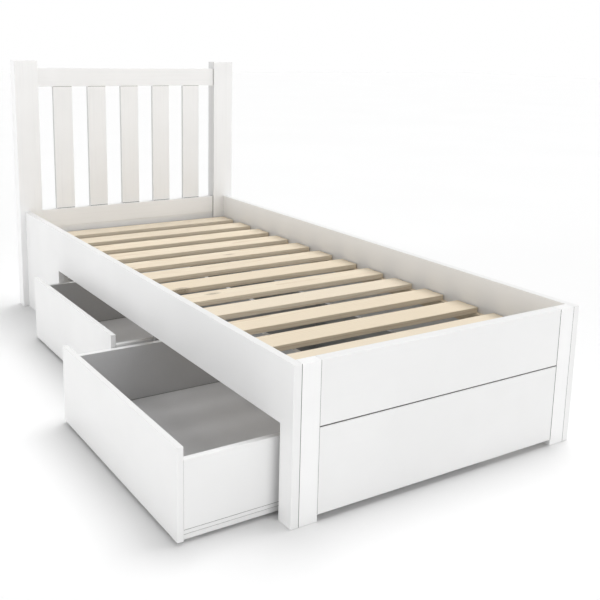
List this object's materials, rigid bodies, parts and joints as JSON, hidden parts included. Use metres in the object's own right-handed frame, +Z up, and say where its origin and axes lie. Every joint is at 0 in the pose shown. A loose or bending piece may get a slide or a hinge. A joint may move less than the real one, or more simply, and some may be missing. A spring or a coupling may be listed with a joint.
{
  "type": "bed frame",
  "caption": "White wooden single bed frame with a slatted headboard, a slatted base and inset drawers that roll out of one side.",
  "frame": {"origin": "middle of the bottom of the whole bed on the floor, with the drawers as stored", "axes": "+Y from the foot end to the headboard, +Z up, -X the way that the drawers come out"},
  "size_m": [1.23, 2.097, 1.023],
  "materials": {
    "white_board": "white satin lacquer on board",
    "lacquered_wood": "white satin lacquer on solid wood",
    "drawer_board": "white satin board",
    "drawer_base": "light grey board",
    "bay_board": "white board",
    "pine": "planed pine, unfinished",
    "beech": "fluted beech dowel, unfinished",
    "zinc_plate": "zinc plated sheet",
    "zinc_steel": "zinc plated",
    "nylon": "natural nylon"
  },
  "bodies": {
    "bed_frame": {"bed_slat_01": "pine", "bed_slat_02": "pine", "bed_slat_03": "pine", "bed_slat_04": "pine", "bed_slat_05": "pine", "bed_slat_06": "pine", "bed_slat_07": "pine", "bed_slat_08": "pine", "bed_slat_09": "pine", "bed_slat_10": "pine", "bed_slat_11": "pine", "bed_slat_12": "pine", "bed_slat_13": "pine", "drawer_bay_back": "bay_board", "drawer_divider_foot": "bay_board", "drawer_divider_head": "bay_board", "drawer_divider_middle": "bay_board", "foot_leg_left": "lacquered_wood", "foot_leg_right": "lacquered_wood", "footboard_lower_panel": "white_board", "footboard_upper_panel": "white_board", "frame_dowels": "beech", "frame_screws": "zinc_steel", "headboard_bottom_rail": "lacquered_wood", "headboard_lower_panel": "lacquered_wood", "headboard_post_left": "lacquered_wood", "headboard_post_right": "lacquered_wood", "headboard_slat_1": "lacquered_wood", "headboard_slat_2": "lacquered_wood", "headboard_slat_3": "lacquered_wood", "headboard_slat_4": "lacquered_wood", "headboard_slat_5": "lacquered_wood", "headboard_top_rail": "lacquered_wood", "side_panel_left": "white_board", "side_panel_right": "white_board", "slat_support_left": "pine", "slat_support_right": "pine", "steel_brackets": "zinc_plate"},
    "foot_drawer": {"foot_drawer_axle_pins": "zinc_steel", "foot_drawer_back": "drawer_board", "foot_drawer_bottom": "drawer_base", "foot_drawer_front": "drawer_board", "foot_drawer_screws": "zinc_steel", "foot_drawer_skids": "drawer_board", "foot_drawer_wall_foot": "drawer_board", "foot_drawer_wall_head": "drawer_board", "foot_drawer_wheel_housings": "zinc_plate"},
    "foot_drawer_front_wheels_pair": {"foot_drawer_front_wheels": "nylon"},
    "foot_drawer_rear_wheels_pair": {"foot_drawer_rear_wheels": "nylon"},
    "head_drawer": {"head_drawer_axle_pins": "zinc_steel", "head_drawer_back": "drawer_board", "head_drawer_bottom": "drawer_base", "head_drawer_front": "drawer_board", "head_drawer_screws": "zinc_steel", "head_drawer_skids": "drawer_board", "head_drawer_wall_foot": "drawer_board", "head_drawer_wall_head": "drawer_board", "head_drawer_wheel_housings": "zinc_plate"},
    "head_drawer_front_wheels_pair": {"head_drawer_front_wheels": "nylon"},
    "head_drawer_rear_wheels_pair": {"head_drawer_rear_wheels": "nylon"}
  },
  "joints": [
    {"name": "foot_drawer_slide", "type": "slide", "parent": "bed_frame", "child": "foot_drawer", "axis": [-1, 0, 0], "range_m": [-0.254, 0.196]},
    {"name": "foot_drawer_front_wheel_roll", "type": "hinge", "parent": "foot_drawer", "child": "foot_drawer_front_wheels_pair", "pos_m": [-0.539, -0.59575, 0.01], "axis": [0, 1, 0], "continuous": true},
    {"name": "foot_drawer_rear_wheel_roll", "type": "hinge", "parent": "foot_drawer", "child": "foot_drawer_rear_wheels_pair", "pos_m": [-0.035, -0.59575, 0.01], "axis": [0, 1, 0], "continuous": true},
    {"name": "head_drawer_slide", "type": "slide", "parent": "bed_frame", "child": "head_drawer", "axis": [-1, 0, 0], "range_m": [-0.0985, 0.3515]},
    {"name": "head_drawer_front_wheel_roll", "type": "hinge", "parent": "head_drawer", "child": "head_drawer_front_wheels_pair", "pos_m": [-0.3835, 0.18495, 0.01], "axis": [0, 1, 0], "continuous": true},
    {"name": "head_drawer_rear_wheel_roll", "type": "hinge", "parent": "head_drawer", "child": "head_drawer_rear_wheels_pair", "pos_m": [0.1205, 0.18495, 0.01], "axis": [0, 1, 0], "continuous": true}
  ],
  "couplings": [
    {"joint": "foot_drawer_front_wheel_roll", "follows": "foot_drawer_slide", "rad_per_m": -100},
    {"joint": "foot_drawer_rear_wheel_roll", "follows": "foot_drawer_slide", "rad_per_m": -100},
    {"joint": "head_drawer_front_wheel_roll", "follows": "head_drawer_slide", "rad_per_m": -100},
    {"joint": "head_drawer_rear_wheel_roll", "follows": "head_drawer_slide", "rad_per_m": -100}
  ]
}
